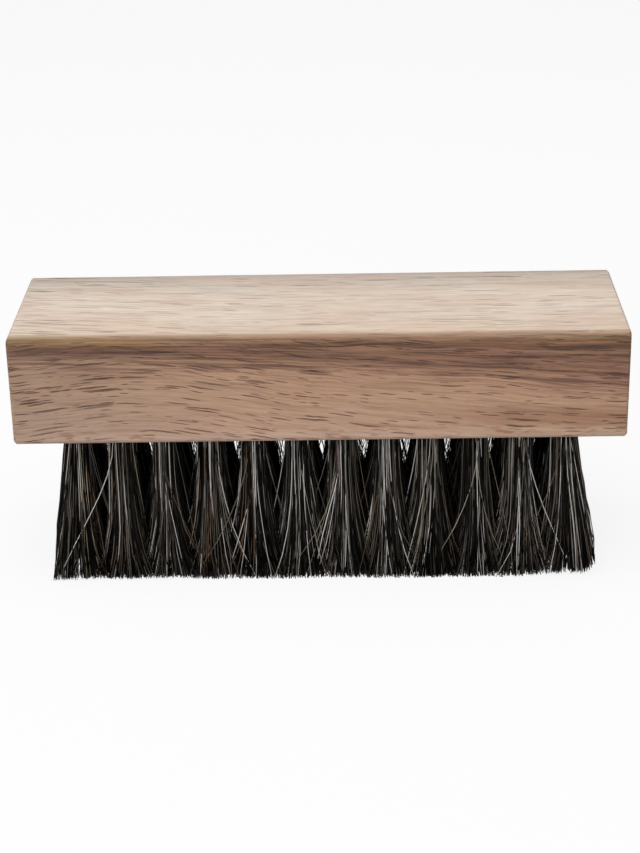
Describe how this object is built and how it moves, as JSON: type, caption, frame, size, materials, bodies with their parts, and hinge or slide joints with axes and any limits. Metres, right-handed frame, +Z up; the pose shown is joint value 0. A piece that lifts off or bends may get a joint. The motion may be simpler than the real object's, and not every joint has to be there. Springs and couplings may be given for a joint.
{
  "type": "shoe shine brush",
  "caption": "Rectangular hardwood block with rounded top edges and a dense field of flared horsehair tufts, trimmed flat, for brushing and polishing shoes.",
  "frame": {"origin": "in the trim plane of the hair tips, under the middle of the block", "axes": "+X along the block, +Y across the block away from the pictured long side, +Z up through the block's top face"},
  "size_m": [0.13, 0.04, 0.0565],
  "materials": {
    "wood": "sanded bare beech, lightly oiled",
    "bristle": "mixed black, brown and grey horsehair with a soft sheen",
    "wire": "drawn flat wire"
  },
  "bodies": {
    "root": {"wooden_block": "wood", "tuft_anchors": "wire", "tuft_row1_01": "bristle", "tuft_row1_02": "bristle", "tuft_row1_03": "bristle", "tuft_row1_04": "bristle", "tuft_row1_05": "bristle", "tuft_row1_06": "bristle", "tuft_row1_07": "bristle", "tuft_row1_08": "bristle", "tuft_row1_09": "bristle", "tuft_row1_10": "bristle", "tuft_row1_11": "bristle", "tuft_row1_12": "bristle", "tuft_row2_01": "bristle", "tuft_row2_02": "bristle", "tuft_row2_03": "bristle", "tuft_row2_04": "bristle", "tuft_row2_05": "bristle", "tuft_row2_06": "bristle", "tuft_row2_07": "bristle", "tuft_row2_08": "bristle", "tuft_row2_09": "bristle", "tuft_row2_10": "bristle", "tuft_row2_11": "bristle", "tuft_row2_12": "bristle", "tuft_row3_01": "bristle", "tuft_row3_02": "bristle", "tuft_row3_03": "bristle", "tuft_row3_04": "bristle", "tuft_row3_05": "bristle", "tuft_row3_06": "bristle", "tuft_row3_07": "bristle", "tuft_row3_08": "bristle", "tuft_row3_09": "bristle", "tuft_row3_10": "bristle", "tuft_row3_11": "bristle", "tuft_row3_12": "bristle", "tuft_row4_01": "bristle", "tuft_row4_02": "bristle", "tuft_row4_03": "bristle", "tuft_row4_04": "bristle", "tuft_row4_05": "bristle", "tuft_row4_06": "bristle", "tuft_row4_07": "bristle", "tuft_row4_08": "bristle", "tuft_row4_09": "bristle", "tuft_row4_10": "bristle", "tuft_row4_11": "bristle", "tuft_row4_12": "bristle"}
  },
  "joints": []
}
